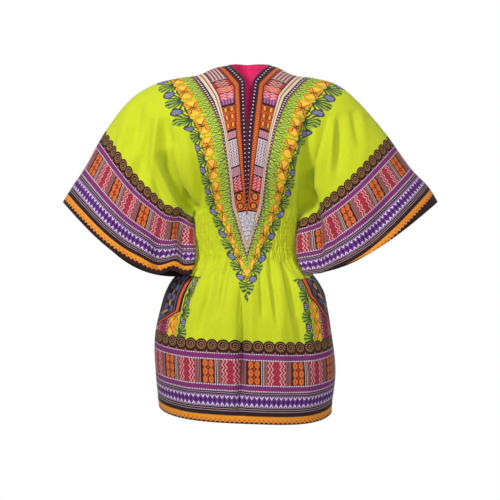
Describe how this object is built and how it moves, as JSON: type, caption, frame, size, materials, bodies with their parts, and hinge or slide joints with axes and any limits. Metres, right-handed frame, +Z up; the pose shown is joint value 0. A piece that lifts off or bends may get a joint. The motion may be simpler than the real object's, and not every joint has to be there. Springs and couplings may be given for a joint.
{
  "type": "dashiki top",
  "caption": "Short kaftan-style dashiki top with cut-on batwing sleeves, slit V neck and elastic shirred waist, standing hollow in its worn shape.",
  "frame": {"origin": "between the two points where the neckline meets the shoulders, where the wearer's shoulders hold the garment up", "axes": "+X to the right as the front is seen, -Y out of the front of the garment, +Z up"},
  "size_m": [0.839, 0.2749, 0.8013],
  "materials": {
    "front": "matt printed cotton, lime ground",
    "back": "matt printed cotton, lime ground",
    "back_neck_facing": "plain magenta cotton"
  },
  "bodies": {
    "root": {"front_bodice": "front", "front_waist": "front", "front_skirt": "front", "back_bodice": "back", "back_waist": "back", "back_skirt": "back", "back_neck_facing": "back_neck_facing"}
  },
  "joints": []
}
